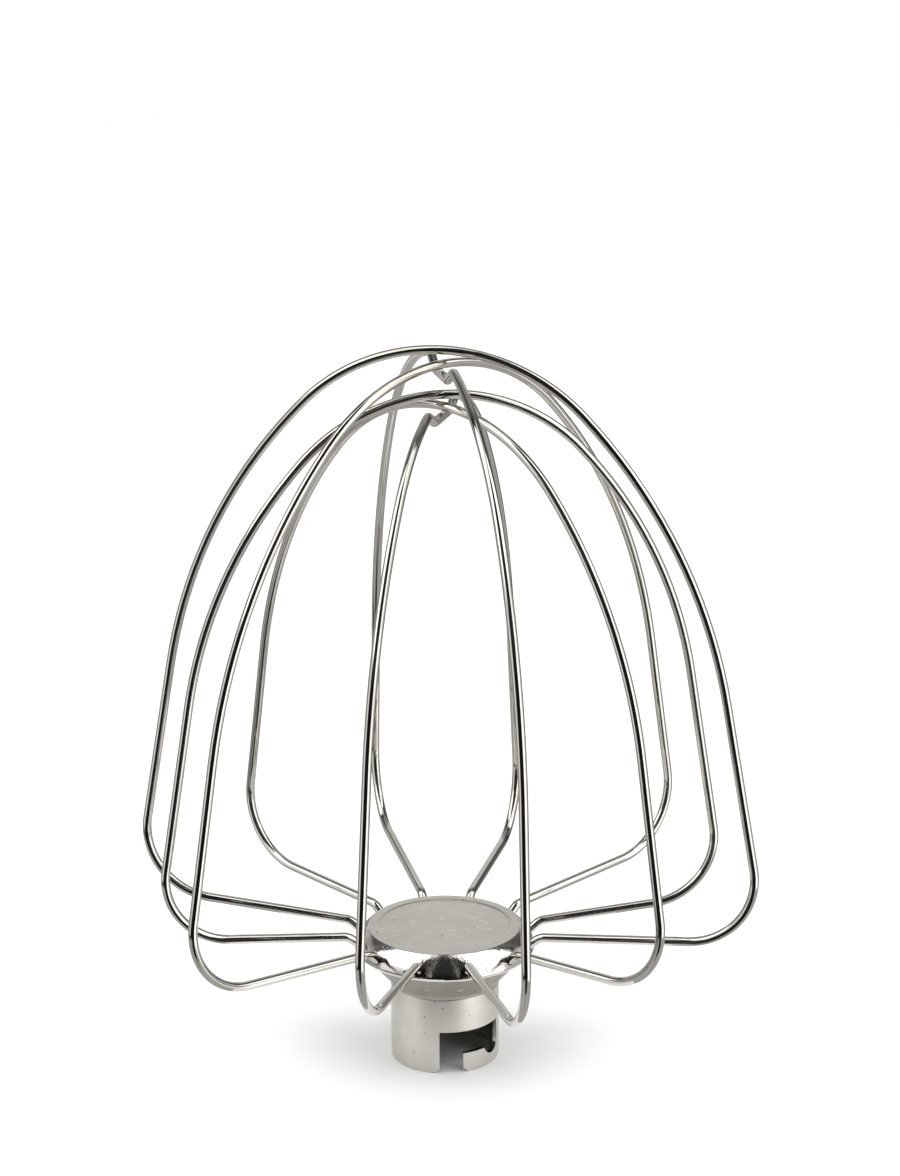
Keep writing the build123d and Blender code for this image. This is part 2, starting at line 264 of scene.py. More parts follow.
def pressed_cap_steel(finish):
    """Stainless sheet, pressed into a cup and buffed. The wall is buffed to a mirror with the
    slight ripple that pressing leaves, and the top keeps a satin grain with handling dashes."""
    material, tree, shader, place = start_material("pressed_stainless_cap")
    parts = add_node(tree, "ShaderNodeSeparateXYZ", {"Vector": place})
    flat = add_node(tree, "ShaderNodeCombineXYZ",
                    {"X": parts.outputs["X"], "Y": parts.outputs["Y"], "Z": 0.0})
    radius = add_node(tree, "ShaderNodeVectorMath", {0: flat.outputs["Vector"]},
                      operation="LENGTH")
    by_radius = add_node(tree, "ShaderNodeMapRange",
                         {"Value": radius.outputs["Value"], "From Min": SATIN_RADIUS,
                          "From Max": SATIN_RADIUS - 0.3},
                         interpolation_type="SMOOTHSTEP")
    by_height = add_node(tree, "ShaderNodeMapRange",
                         {"Value": parts.outputs["Z"], "From Min": CAP_TOP - 0.6,
                          "From Max": CAP_TOP - 0.4}, interpolation_type="SMOOTHSTEP")
    top = add_node(tree, "ShaderNodeMath",
                   {0: by_radius.outputs["Result"], 1: by_height.outputs["Result"]},
                   operation="MULTIPLY")
    # satin grain 0.15 mm, and a cloudy variation 6 mm across
    grain = add_node(tree, "ShaderNodeTexNoise",
                     {"Vector": place, "Scale": 6.5, "Detail": 3.0, "Roughness": 0.7})
    cloud = add_node(tree, "ShaderNodeTexNoise",
                     {"Vector": place, "Scale": 0.16, "Detail": 4.0, "Roughness": 0.55})
    # dashes up to 2 mm long that lie across the top, and round specks up to 0.5 mm across
    dash_place = add_node(tree, "ShaderNodeMapping",
                          {"Vector": place, "Rotation": (0.0, 0.0, radians(-7)),
                           "Scale": (0.22, 1.15, 0.4)})
    dashes = add_node(tree, "ShaderNodeTexVoronoi",
                      {"Vector": dash_place.outputs["Vector"], "Scale": 1.0})
    dash_share = add_node(tree, "ShaderNodeMapRange",
                          {"Value": dashes.outputs["Distance"], "From Min": 0.24,
                           "From Max": 0.14})
    dash_sign = add_node(tree, "ShaderNodeSeparateColor", {"Color": dashes.outputs["Color"]})
    dash_kept = add_node(tree, "ShaderNodeMath",
                         {0: dash_sign.outputs["Green"], 1: 0.35}, operation="GREATER_THAN")
    dash = add_node(tree, "ShaderNodeMath",
                    {0: dash_share.outputs["Result"], 1: dash_kept.outputs["Value"]},
                    operation="MULTIPLY")
    specks = add_node(tree, "ShaderNodeTexVoronoi", {"Vector": place, "Scale": 0.42})
    speck_share = add_node(tree, "ShaderNodeMapRange",
                           {"Value": specks.outputs["Distance"], "From Min": 0.12,
                            "From Max": 0.07})
    speck_sign = add_node(tree, "ShaderNodeSeparateColor", {"Color": specks.outputs["Color"]})
    speck_kept = add_node(tree, "ShaderNodeMath",
                          {0: speck_sign.outputs["Red"], 1: 0.4}, operation="GREATER_THAN")
    speck = add_node(tree, "ShaderNodeMath",
                     {0: speck_share.outputs["Result"], 1: speck_kept.outputs["Value"]},
                     operation="MULTIPLY")
    # colour
    clouded = add_node(tree, "ShaderNodeMapRange",
                       {"Value": cloud.outputs["Fac"], "From Min": 0.3, "From Max": 0.7,
                        "To Min": 0.93, "To Max": 1.04})
    scuffed = add_node(tree, "ShaderNodeMath",
                       {0: dash.outputs["Value"], 1: 0.22, 2: clouded.outputs["Result"]},
                       operation="MULTIPLY_ADD")
    satin = add_node(tree, "ShaderNodeVectorMath",
                     {0: tuple(finish.cap_top_colour)[:3], "Scale": scuffed.outputs["Value"]},
                     operation="SCALE")
    speckled = add_node(tree, "ShaderNodeMix",
                        {0: speck.outputs["Value"], 6: satin.outputs["Vector"],
                         7: tuple(finish.speck_colour)}, data_type="RGBA")
    whole = add_node(tree, "ShaderNodeMix",
                     {0: top.outputs["Value"], 6: tuple(finish.cap_colour),
                      7: speckled.outputs[2]}, data_type="RGBA")
    tree.links.new(whole.outputs[2], shader.inputs["Base Color"])
    # polish
    satin_rough = add_node(tree, "ShaderNodeMapRange",
                           {"Value": grain.outputs["Fac"], "From Min": 0.3, "From Max": 0.7,
                            "To Min": finish.cap_top_roughness - 0.06,
                            "To Max": finish.cap_top_roughness + 0.06})
    dash_rough = add_node(tree, "ShaderNodeMath",
                          {0: dash.outputs["Value"], 1: -0.22, 2: satin_rough.outputs["Result"]},
                          operation="MULTIPLY_ADD")
    wall_rough = add_node(tree, "ShaderNodeMapRange",
                          {"Value": cloud.outputs["Fac"], "From Min": 0.35, "From Max": 0.7,
                           "To Min": finish.cap_roughness, "To Max": finish.cap_roughness + 0.08})
    rough = add_node(tree, "ShaderNodeMix",
                     {0: top.outputs["Value"], 2: wall_rough.outputs["Result"],
                      3: dash_rough.outputs["Value"]}, data_type="FLOAT")
    tree.links.new(rough.outputs[0], shader.inputs["Roughness"])
    # relief: grain and dashes on the top, pressing ripple 1.3 mm across on the wall
    ripple = add_node(tree, "ShaderNodeTexNoise",
                      {"Vector": place, "Scale": 0.75, "Detail": 3.0, "Roughness": 0.6})
    # orange peel 0.4 mm across, which frays the edge of whatever the wall mirrors
    peel = add_node(tree, "ShaderNodeTexNoise",
                    {"Vector": place, "Scale": 2.4, "Detail": 2.0, "Roughness": 0.6})
    uneven = add_node(tree, "ShaderNodeMath",
                      {0: peel.outputs["Fac"], 1: 0.35, 2: ripple.outputs["Fac"]},
                      operation="MULTIPLY_ADD")
    wall_bump = add_node(tree, "ShaderNodeBump",
                         {"Strength": 1.0, "Distance": 0.05 * MM,
                          "Height": uneven.outputs["Value"]})
    dents = add_node(tree, "ShaderNodeMath",
                     {0: dash.outputs["Value"], 1: 1.6, 2: grain.outputs["Fac"]},
                     operation="MULTIPLY_ADD")
    top_relief = add_node(tree, "ShaderNodeMath",
                          {0: speck.outputs["Value"], 1: -2.0, 2: dents.outputs["Value"]},
                          operation="MULTIPLY_ADD")
    top_bump = add_node(tree, "ShaderNodeBump",
                        {"Strength": 0.6, "Distance": 0.012 * MM,
                         "Height": top_relief.outputs["Value"]})
    normal = add_node(tree, "ShaderNodeMix",
                      {0: top.outputs["Value"], 4: wall_bump.outputs["Normal"],
                       5: top_bump.outputs["Normal"]}, data_type="VECTOR")
    tree.links.new(normal.outputs[1], shader.inputs["Normal"])
    return material


def tumbled_steel(finish, name, metal_colour, grain_scale, spun, bore):
    """Stainless tube or sheet, tumbled with the finished whip. It has a fine even frosting that
    spreads each highlight, with pits, and faint marks that run round the axis. The bore has painted
    shade that fades out towards its open end, and painted light on the side left of the entry."""
    material, tree, shader, place = start_material(name)
    parts = add_node(tree, "ShaderNodeSeparateXYZ", {"Vector": place})
    flat = add_node(tree, "ShaderNodeCombineXYZ",
                    {"X": parts.outputs["X"], "Y": parts.outputs["Y"], "Z": 0.0})
    radius = add_node(tree, "ShaderNodeVectorMath", {0: flat.outputs["Vector"]},
                      operation="LENGTH")
    # painted shade: the bore is darkened, more so further in from its open end
    inside = add_node(tree, "ShaderNodeMapRange",
                      {"Value": radius.outputs["Value"], "From Min": bore + 0.2,
                       "From Max": bore + 0.05})
    deep = add_node(tree, "ShaderNodeMapRange",
                    {"Value": parts.outputs["Z"], "From Min": 0.5, "From Max": 8.0},
                    interpolation_type="SMOOTHSTEP")
    # painted light: the side of the bore left of the entry is kept free of the painted shade
    shade_right_of_entry = add_node(tree, "ShaderNodeMapRange",
                        {"Value": parts.outputs["X"], "From Min": 0.4, "From Max": 2.4},
                        interpolation_type="SMOOTHSTEP")
    painted_shade_reach = add_node(tree, "ShaderNodeMath",
                         {0: deep.outputs["Result"], 1: shade_right_of_entry.outputs["Result"]},
                         operation="MULTIPLY")
    painted_bore_shade = add_node(tree, "ShaderNodeMath",
                      {0: inside.outputs["Result"], 1: painted_shade_reach.outputs["Value"]},
                      operation="MULTIPLY")
    # the sheet's cut edges, round the bayonet slot, are drawn smoother than its faces
    cut_edge = add_node(tree, "ShaderNodeMath",
                      {0: radius.outputs["Value"], 1: bore + 0.5, 2: 0.34}, operation="COMPARE")
    frost = add_node(tree, "ShaderNodeTexNoise",
                     {"Vector": place, "Scale": grain_scale, "Detail": 4.0, "Roughness": 0.7})
    cloud = add_node(tree, "ShaderNodeTexNoise",
                     {"Vector": place, "Scale": 0.22, "Detail": 5.0, "Roughness": 0.6})
    # marks round the axis: 0.3 mm apart in height
    rings_place = add_node(tree, "ShaderNodeMapping",
                           {"Vector": place, "Scale": (0.05, 0.05, 3.3)})
    rings = add_node(tree, "ShaderNodeTexNoise",
                     {"Vector": rings_place.outputs["Vector"], "Scale": 1.0, "Detail": 2.0})
    # dark pits up to 0.4 mm across, in half of the cells
    pits = add_node(tree, "ShaderNodeTexVoronoi", {"Vector": place, "Scale": 0.5})
    pit_share = add_node(tree, "ShaderNodeMapRange",
                         {"Value": pits.outputs["Distance"], "From Min": 0.12, "From Max": 0.06})
    pit_kind = add_node(tree, "ShaderNodeSeparateColor", {"Color": pits.outputs["Color"]})
    pit_kept = add_node(tree, "ShaderNodeMath",
                        {0: pit_kind.outputs["Red"], 1: 0.5}, operation="GREATER_THAN")
    pit = add_node(tree, "ShaderNodeMath",
                   {0: pit_share.outputs["Result"], 1: pit_kept.outputs["Value"]},
                   operation="MULTIPLY")
    shade = add_node(tree, "ShaderNodeMapRange",
                     {"Value": cloud.outputs["Fac"], "From Min": 0.3, "From Max": 0.7,
                      "To Min": 0.94, "To Max": 1.03})
    tint = add_node(tree, "ShaderNodeVectorMath",
                    {0: tuple(metal_colour)[:3], "Scale": shade.outputs["Result"]},
                    operation="SCALE")
    pitted = add_node(tree, "ShaderNodeMix",
                      {0: pit.outputs["Value"], 6: tint.outputs["Vector"],
                       7: tuple(finish.speck_colour)}, data_type="RGBA")
    # painted shade inside the bore, kept off its left side as painted light
    whole = add_node(tree, "ShaderNodeMix",
                     {0: painted_bore_shade.outputs["Value"], 6: pitted.outputs[2],
                      7: tuple(finish.bore_shade_colour)}, data_type="RGBA")
    tree.links.new(whole.outputs[2], shader.inputs["Base Color"])
    frosted = add_node(tree, "ShaderNodeMapRange",
                       {"Value": frost.outputs["Fac"], "From Min": 0.3, "From Max": 0.7,
                        "To Min": finish.satin_roughness - 0.07,
                        "To Max": finish.satin_roughness + 0.07})
    worn = add_node(tree, "ShaderNodeMath",
                    {0: rings.outputs["Fac"], 1: spun * 0.2, 2: frosted.outputs["Result"]},
                    operation="MULTIPLY_ADD")
    smoothed = add_node(tree, "ShaderNodeMix",
                         {0: cut_edge.outputs["Value"], 2: worn.outputs["Value"], 3: 0.14},
                         data_type="FLOAT")
    tree.links.new(smoothed.outputs[0], shader.inputs["Roughness"])
    lines = add_node(tree, "ShaderNodeMath",
                     {0: rings.outputs["Fac"], 1: spun, 2: frost.outputs["Fac"]},
                     operation="MULTIPLY_ADD")
    relief = add_node(tree, "ShaderNodeMath",
                      {0: pit.outputs["Value"], 1: -2.0, 2: lines.outputs["Value"]},
                      operation="MULTIPLY_ADD")
    bump = add_node(tree, "ShaderNodeBump",
                    {"Strength": 0.7, "Distance": 0.012 * MM, "Height": relief.outputs["Value"]})
    tree.links.new(bump.outputs["Normal"], shader.inputs["Normal"])
    return material


def turned_aluminium(finish):
    """Aluminium bar, turned on a lathe. The tool leaves fine rings that draw a highlight into a
    fan, and the bare metal is greyer and softer than the steel round it."""
    material, tree, shader, place = start_material("turned_aluminium")
    parts = add_node(tree, "ShaderNodeSeparateXYZ", {"Vector": place})
    flat = add_node(tree, "ShaderNodeCombineXYZ",
                    {"X": parts.outputs["X"], "Y": parts.outputs["Y"], "Z": 0.0})
    radius = add_node(tree, "ShaderNodeVectorMath", {0: flat.outputs["Vector"]},
                      operation="LENGTH")
    # tool marks 0.25 mm apart, on faces and along the bore alike
    track = add_node(tree, "ShaderNodeMath",
                     {0: radius.outputs["Value"], 1: parts.outputs["Z"]}, operation="ADD")
    marks = add_node(tree, "ShaderNodeMath",
                     {0: track.outputs["Value"], 1: 2 * pi / 0.25}, operation="MULTIPLY")
    groove = add_node(tree, "ShaderNodeMath", {0: marks.outputs["Value"]}, operation="SINE")
    stain = add_node(tree, "ShaderNodeTexNoise",
                     {"Vector": place, "Scale": 0.3, "Detail": 4.0, "Roughness": 0.6})
    shade = add_node(tree, "ShaderNodeMapRange",
                     {"Value": stain.outputs["Fac"], "From Min": 0.3, "From Max": 0.7,
                      "To Min": 0.86, "To Max": 1.0})
    tint = add_node(tree, "ShaderNodeVectorMath",
                    {0: tuple(finish.aluminium_colour)[:3], "Scale": shade.outputs["Result"]},
                    operation="SCALE")
    tree.links.new(tint.outputs["Vector"], shader.inputs["Base Color"])
    rough = add_node(tree, "ShaderNodeMapRange",
                     {"Value": stain.outputs["Fac"], "From Min": 0.3, "From Max": 0.7,
                      "To Min": 0.3, "To Max": 0.42})
    tree.links.new(rough.outputs["Result"], shader.inputs["Roughness"])
    bump = add_node(tree, "ShaderNodeBump",
                    {"Strength": 0.5, "Distance": 0.006 * MM, "Height": groove.outputs["Value"]})
    tree.links.new(bump.outputs["Normal"], shader.inputs["Normal"])
    return material


def finish_node(name, material):
    """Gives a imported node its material."""
    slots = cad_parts[name].material_slots
    for slot in slots:
        slot.material = material


# ---- wire loops ----

class Trail:
    """A centreline drawn by walking it: straight lengths and bends in a loop's own plane, where
    the first coordinate runs out from the axis and the second runs up."""

    def __init__(self, start, heading):
        self.points = [Vector(start)]
        self.heading = heading

    def ahead(self, run, step):
        start = self.points[-1]
        way = Vector((cos(self.heading), sin(self.heading)))
        count = max(1, ceil(run / step))
        self.points += [start + way * (run * i / count) for i in range(1, count + 1)]

    def bend(self, radius, turn):
        side = 1 if turn > 0 else -1
        start, heading = self.points[-1], self.heading
        centre = start + Vector((-sin(heading), cos(heading))) * (radius * side)
        count = max(4, ceil(abs(turn) / radians(2.0)))
        for i in range(1, count + 1):
            now = heading + turn * i / count
            self.points.append(centre - Vector((-sin(now), cos(now))) * (radius * side))
        self.heading = heading + turn


def half_loop(sizes, shape, crown, crimp=None):
    """Points of a loop from its cut end in the hub to the axis."""
    reach, corner, lean, flank, flank_turn = shape
    fall, foot = sizes.entry_slope, sizes.foot_slope
    bend_turn = fall - foot
    bend_tangent = sizes.entry_bend * tan(bend_turn / 2)
    bend_radius = sizes.entry_radius + sizes.foot_rise / tan(fall)
    climb = sizes.entry_depth + sizes.foot_rise / sin(fall) - bend_tangent
    corner_start = reach - corner + corner * sin(foot)
    foot_length = (corner_start - bend_radius) / cos(foot) - bend_tangent
    corner_height = (sizes.entry_height + sizes.foot_rise
                     + (corner_start - bend_radius) * tan(foot) + corner * cos(foot))
    arch = lean + flank_turn
    across = reach - corner + corner * cos(lean) - flank * (cos(lean) - cos(arch))
    upward = crown - corner_height - corner * sin(lean) - flank * (sin(arch) - sin(lean))
    closing = (1 - sin(arch)) / cos(arch)
    leg = (upward - across * closing) / (cos(lean) - sin(lean) * closing)
    crown_radius = (across - leg * sin(lean)) / cos(arch)

    start = (sizes.entry_radius - sizes.entry_depth * cos(fall),
             sizes.entry_height - sizes.entry_depth * sin(fall))
    step = 4 * MM
    trail = Trail(start, fall)
    trail.ahead(climb, step)
    trail.bend(sizes.entry_bend, -bend_turn)
    trail.ahead(foot_length, step)
    trail.bend(corner, radians(90) + lean - foot)
    trail.ahead(leg, step)
    trail.bend(flank, flank_turn)
    if crimp is None:
        trail.bend(crown_radius, radians(90) - arch)
        return trail.points
    bend, drop = sizes.crimp_radius, sizes.crimp_drop
    shoulder = acos(sizes.crimp_reach / (crown_radius - bend))
    peak = crown - (crown_radius - bend) * (1 - sin(shoulder))
    straight = peak - crimp - 2 * bend * (1 - cos(drop))
    level = sizes.crimp_reach - 2 * bend * sin(drop) - straight / tan(drop)
    trail.bend(crown_radius, shoulder - arch)
    trail.bend(bend, radians(90) + drop - shoulder)
    trail.ahead(straight / sin(drop), step)
    trail.bend(bend, -drop)
    trail.ahead(level, step)
    return trail.points


def wire_tree():
    """Geometry nodes that put round wire along a centreline. Each point of the wire's surface
    keeps its place on the straight wire, before bending, for the die lines to follow."""
    tree = bpy.data.node_groups.new("Round wire", "GeometryNodeTree")
    sockets = tree.interface
    sockets.new_socket("Centreline", in_out="INPUT", socket_type="NodeSocketGeometry")
    for name, kind in (("Wire Diameter", "NodeSocketFloat"), ("Sides", "NodeSocketInt"),
                       ("Wire Metal", "NodeSocketMaterial")):
        sockets.new_socket(name, in_out="INPUT", socket_type=kind)
    sockets.new_socket("Wire", in_out="OUTPUT", socket_type="NodeSocketGeometry")
    given = add_node(tree, "NodeGroupInput")
    measure = add_node(tree, "GeometryNodeSplineParameter")
    line = add_node(tree, "GeometryNodeCaptureAttribute",
                    {"Geometry": given.outputs["Centreline"]})
    line.capture_items.new("FLOAT", "Length")
    tree.links.new(measure.outputs["Length"], line.inputs["Length"])
    half = add_node(tree, "ShaderNodeMath",
                    {0: given.outputs["Wire Diameter"], 1: 0.5}, operation="MULTIPLY")
    ring = add_node(tree, "GeometryNodeCurvePrimitiveCircle",
                    {"Resolution": given.outputs["Sides"], "Radius": half.outputs["Value"]})
    spot = add_node(tree, "GeometryNodeInputPosition")
    section = add_node(tree, "GeometryNodeCaptureAttribute",
                       {"Geometry": ring.outputs["Curve"]})
    section.capture_items.new("VECTOR", "Section")
    tree.links.new(spot.outputs["Position"], section.inputs["Section"])
    tube = add_node(tree, "GeometryNodeCurveToMesh",
                    {"Curve": line.outputs["Geometry"],
                     "Profile Curve": section.outputs["Geometry"], "Fill Caps": True})
    parts = add_node(tree, "ShaderNodeSeparateXYZ", {"Vector": section.outputs["Section"]})
    straight = add_node(tree, "ShaderNodeCombineXYZ",
                        {"X": parts.outputs["X"], "Y": parts.outputs["Y"],
                         "Z": line.outputs["Length"]})
    kept = add_node(tree, "GeometryNodeStoreNamedAttribute",
                    {"Geometry": tube.outputs["Mesh"], "Name": "wire_space",
                     "Value": straight.outputs["Vector"]},
                    data_type="FLOAT_VECTOR", domain="POINT")
    real = add_node(tree, "GeometryNodeRealizeInstances", {"Geometry": kept.outputs["Geometry"]})
    finished = add_node(tree, "GeometryNodeSetMaterial",
                        {"Geometry": real.outputs["Geometry"],
                         "Material": given.outputs["Wire Metal"]})
    add_node(tree, "NodeGroupOutput", {"Wire": finished.outputs["Geometry"]})
    return tree


def plain_mesh(maker, name):
    """The evaluated result of a maker object as a plain mesh object. The maker goes away."""
    evaluated = maker.evaluated_get(bpy.context.evaluated_depsgraph_get())
    mesh = bpy.data.meshes.new_from_object(evaluated)
    mesh.name = name
    bpy.data.objects.remove(maker)
    made = bpy.data.objects.new(name, mesh)
    bpy.context.scene.collection.objects.link(made)
    return made


def bend_loop(name, node, yaw, points, sizes, metal, tree):
    """One loop of wire, through both halves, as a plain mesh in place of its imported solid."""
    outline = [(p.x, p.y) for p in points] + [(-p.x, p.y) for p in reversed(points[:-1])]
    centreline = bpy.data.curves.new(name + "_line", "CURVE")
    centreline.dimensions = "3D"
    spline = centreline.splines.new("POLY")
    spline.points.add(len(outline) - 1)
    for point, (out, up) in zip(spline.points, outline):
        point.co = (out * cos(yaw), out * sin(yaw), up, 1)
    maker = bpy.data.objects.new(name + "_maker", centreline)
    bpy.context.scene.collection.objects.link(maker)
    modifier = maker.modifiers.new("Wire", "NODES")
    modifier.node_group = tree
    given = {"Wire Diameter": sizes.wire_dia, "Sides": sizes.sides, "Wire Metal": metal}
    for item in tree.interface.items_tree:
        if item.in_out == "INPUT" and item.name in given:
            modifier[item.identifier] = given[item.name]
    wire = plain_mesh(maker, name)
    bpy.data.curves.remove(centreline)
    for face in wire.data.polygons:
        face.use_smooth = True
    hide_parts(node)
    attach(wire, "root")


def loop_set(scene, label, side, shape, full_shape, crown, second, crimp):
    """The three loops of a set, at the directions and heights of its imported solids."""
    sizes = scene.whip_wires
    metal = (bpy.data.materials.get("drawn_stainless_wire")
             or drawn_wire_steel(scene.whip_finishes))
    tree = bpy.data.node_groups.get("Round wire") or wire_tree()
    plans = (
        (side * sizes.near_yaw, half_loop(sizes, shape, crown)),
        (-side * sizes.middle_yaw, half_loop(sizes, shape, second)),
        (side * sizes.far_yaw, half_loop(sizes, full_shape, second + sizes.crimp_rise, crimp)),
    )
    for number, (yaw, points) in enumerate(plans, 1):
        bend_loop(f"{label}_wire_{number}", f"{label}_loop_{number}", yaw, points, sizes, metal,
                  tree)


class WHIP_OT_tall_loops(bpy.types.Operator):
    """Bends the three tall loops of wire and puts them in place of their solids"""

    bl_idname = "whip.tall_loops"
    bl_label = "Tall wire loops"

    def execute(self, context):
        s = context.scene.whip_wires
        shape = (s.tall_reach, s.tall_corner, s.tall_lean, s.tall_flank, s.tall_turn)
        full = (s.tall_reach, s.tall_corner, s.full_lean, s.full_flank, s.full_turn)
        loop_set(context.scene, "tall", -1, shape, full, s.tall_crown, s.tall_second, s.tall_crimp)
        return {"FINISHED"}


class WHIP_OT_short_loops(bpy.types.Operator):
    """Bends the three short loops of wire and puts them in place of their solids"""

    bl_idname = "whip.short_loops"
    bl_label = "Short wire loops"

    def execute(self, context):
        s = context.scene.whip_wires
        shape = (s.short_reach, s.short_corner, s.short_lean, s.short_flank, s.short_turn)
        loop_set(context.scene, "short", 1, shape, shape,
                 s.short_crown, s.short_second, s.short_crimp)
        return {"FINISHED"}


class WHIP_OT_hub_cap(bpy.types.Operator):
    """Finishes the hub cap, with a mirror wall and a satin top"""

    bl_idname = "whip.hub_cap"
    bl_label = "Hub cap"

    def execute(self, context):
        finish_node("hub_cap", pressed_cap_steel(context.scene.whip_finishes))
        return {"FINISHED"}


class WHIP_OT_socket_and_collar(bpy.types.Operator):
    """Finishes the drive socket, the flared collar and the stop disc"""

    bl_idname = "whip.socket_and_collar"
    bl_label = "Socket and collar"

    def execute(self, context):
        finish = context.scene.whip_finishes
        bore = SOCKET_RADIUS - SOCKET_WALL
        tube = tumbled_steel(finish, "tumbled_tube_steel", finish.satin_colour, 4.0, 0.3, bore)
        finish_node("drive_socket", tube)
        # painted shade: the collar and stop disc take the socket's finish in a darker colour
        pressed = tumbled_steel(finish, "tumbled_sheet_steel_shaded", finish.collar_shaded_colour, 5.0, 0.6, 0.0)
        finish_node("flared_collar", pressed)
        finish_node("stop_disc", pressed)
        return {"FINISHED"}


class WHIP_OT_turned_parts(bpy.types.Operator):
    """Finishes the shaft sleeve and the ring that anchors the wires"""

    bl_idname = "whip.turned_parts"
    bl_label = "Turned parts"

    def execute(self, context):
        metal = turned_aluminium(context.scene.whip_finishes)
        finish_node("shaft_sleeve", metal)
        finish_node("wire_anchor", metal)
        return {"FINISHED"}


# ---- stage ----

# what the metal mirrors, apart from the floor near it: direction round the whip from the front
# towards +X, half width and soft edge, lowest and highest elevation and soft edge (all degrees),
# and radiance. The values are set to give the metal its streaks and dark edges
PANELS = (
    ("right_key", 58, 20, 4, -24, 20, 5, 1.9),
    ("right_fill", 98, 18, 8, -24, 20, 5, 0.55),
    ("left_key", -68, 15, 4, -18, 24, 5, 1.0),
    ("left_fill", -118, 30, 12, -24, 20, 5, 0.34),
    ("back_low", 180, 36, 16, -24, 12, 8, 0.3),
    ("far_floor", 180, 148, 12, -91, -28, 5, 0.5),
    ("front_floor", 0, 32, 12, -91, -50, 6, 0.3),
    ("right_high", 74, 31, 3, 25, 74, 4, 2.0),
    ("left_high", -74, 31, 3, 25, 74, 4, 2.0),
    ("front_high", 0, 38, 6, 24, 88, 6, 0.02),
    ("overhead", 180, 156, 4, 76, 91, 3, 1.0),
    ("back_window", 180, 20, 10, 8, 34, 6, 0.6),
    ("back_high", 180, 26, 12, 34, 66, 8, 0.3),
    ("far_right", 134, 14, 10, 22, 70, 8, 0.1),
    ("far_left", -134, 14, 10, 22, 70, 8, 0.1),
)


def surroundings(scene):
    """A world that is plain white to look at, and that the metal mirrors as a studio with pale
    panels at its sides and back and an almost unlit front."""
    world = bpy.data.worlds.new("studio")
    scene.world = world
    world.use_nodes = True
    tree = world.node_tree
    tree.nodes.clear()
    where = add_node(tree, "ShaderNodeTexCoord")
    parts = add_node(tree, "ShaderNodeSeparateXYZ", {"Vector": where.outputs["Generated"]})
    front = add_node(tree, "ShaderNodeMath", {0: parts.outputs["Y"], 1: -1.0},
                     operation="MULTIPLY")
    turn = add_node(tree, "ShaderNodeMath", {0: parts.outputs["X"], 1: front.outputs["Value"]},
                    operation="ARCTAN2")
    rise = add_node(tree, "ShaderNodeMath", {0: parts.outputs["Z"]}, operation="ARCSINE")
    glow = None
    for _, middle, half_width, soft, low, high, soft_rise, radiance in PANELS:
        away = add_node(tree, "ShaderNodeMath",
                        {0: turn.outputs["Value"], 1: -radians(middle)}, operation="ADD")
        wrapped = add_node(tree, "ShaderNodeMath", {0: away.outputs["Value"], 1: -pi, 2: pi},
                           operation="WRAP")
        size = add_node(tree, "ShaderNodeMath", {0: wrapped.outputs["Value"]},
                        operation="ABSOLUTE")
        across = add_node(tree, "ShaderNodeMapRange",
                          {"Value": size.outputs["Value"], "From Min": radians(half_width + soft),
                           "From Max": radians(half_width), "To Max": radiance},
                          interpolation_type="SMOOTHSTEP")
        over = add_node(tree, "ShaderNodeMapRange",
                        {"Value": rise.outputs["Value"], "From Min": radians(low - soft_rise),
                         "From Max": radians(low)}, interpolation_type="SMOOTHSTEP")
        under = add_node(tree, "ShaderNodeMapRange",
                         {"Value": rise.outputs["Value"], "From Min": radians(high + soft_rise),
                          "From Max": radians(high)}, interpolation_type="SMOOTHSTEP")
        band = add_node(tree, "ShaderNodeMath",
                        {0: over.outputs["Result"], 1: under.outputs["Result"]},
                        operation="MULTIPLY")
        total = add_node(tree, "ShaderNodeMath",
                         {0: across.outputs["Result"], 1: band.outputs["Value"],
                          2: glow if glow else WORLD_GLOW}, operation="MULTIPLY_ADD")
        glow = total.outputs["Value"]
    seen = add_node(tree, "ShaderNodeLightPath")
    shown = add_node(tree, "ShaderNodeMix",
                     {0: seen.outputs["Is Camera Ray"], 2: glow, 3: 1.0}, data_type="FLOAT")
    light = add_node(tree, "ShaderNodeBackground",
                     {"Color": linear("#FFFFFF"), "Strength": shown.outputs[0]})
    add_node(tree, "ShaderNodeOutputWorld", {"Surface": light.outputs["Background"]})


def floor_ring(name, inner, outer, material, mirrored):
    """A flat ring of floor at the height that the socket stands on."""
    count = 128
    corners, faces = [], []
    for radius in (inner, outer):
        corners += [(radius * cos(2 * pi * i / count), radius * sin(2 * pi * i / count), 0.0)
                    for i in range(count)]
    if inner:
        faces = [(i, count + i, count + (i + 1) % count, (i + 1) % count) for i in range(count)]
    else:
        corners = corners[count:]
        faces = [tuple(range(count))]
    mesh = bpy.data.meshes.new(name)
    mesh.from_pydata(corners, [], faces)
    mesh.materials.append(material)
    ring = bpy.data.objects.new(name, mesh)
    bpy.context.scene.collection.objects.link(ring)
    ring.visible_glossy = mirrored


